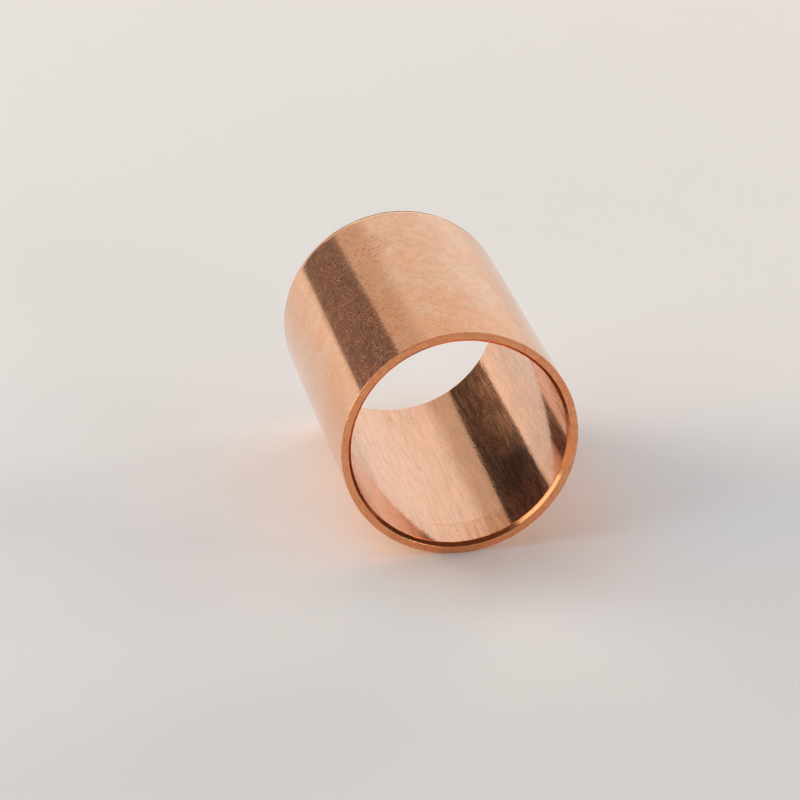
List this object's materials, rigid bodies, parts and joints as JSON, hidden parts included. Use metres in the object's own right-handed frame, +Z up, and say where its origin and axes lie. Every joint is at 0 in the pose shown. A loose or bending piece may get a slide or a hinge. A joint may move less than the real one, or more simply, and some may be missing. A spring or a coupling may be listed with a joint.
{
  "type": "straight pipe coupling",
  "caption": "Straight copper sleeve coupling for capillary soldering of equal tubes end to end; plain bore right through, chamfered mouths, flat cut ends.",
  "frame": {"origin": "middle of the bore, on its axis, halfway between the two cut ends", "axes": "+Y along the bore's axis, towards the back mouth; +Z up with the sleeve lying on its side; +X to the right seen from the front mouth"},
  "size_m": [0.0242, 0.0338, 0.0242],
  "materials": {
    "copper": "polished"
  },
  "bodies": {
    "root": {"sleeve": "copper"}
  },
  "joints": []
}
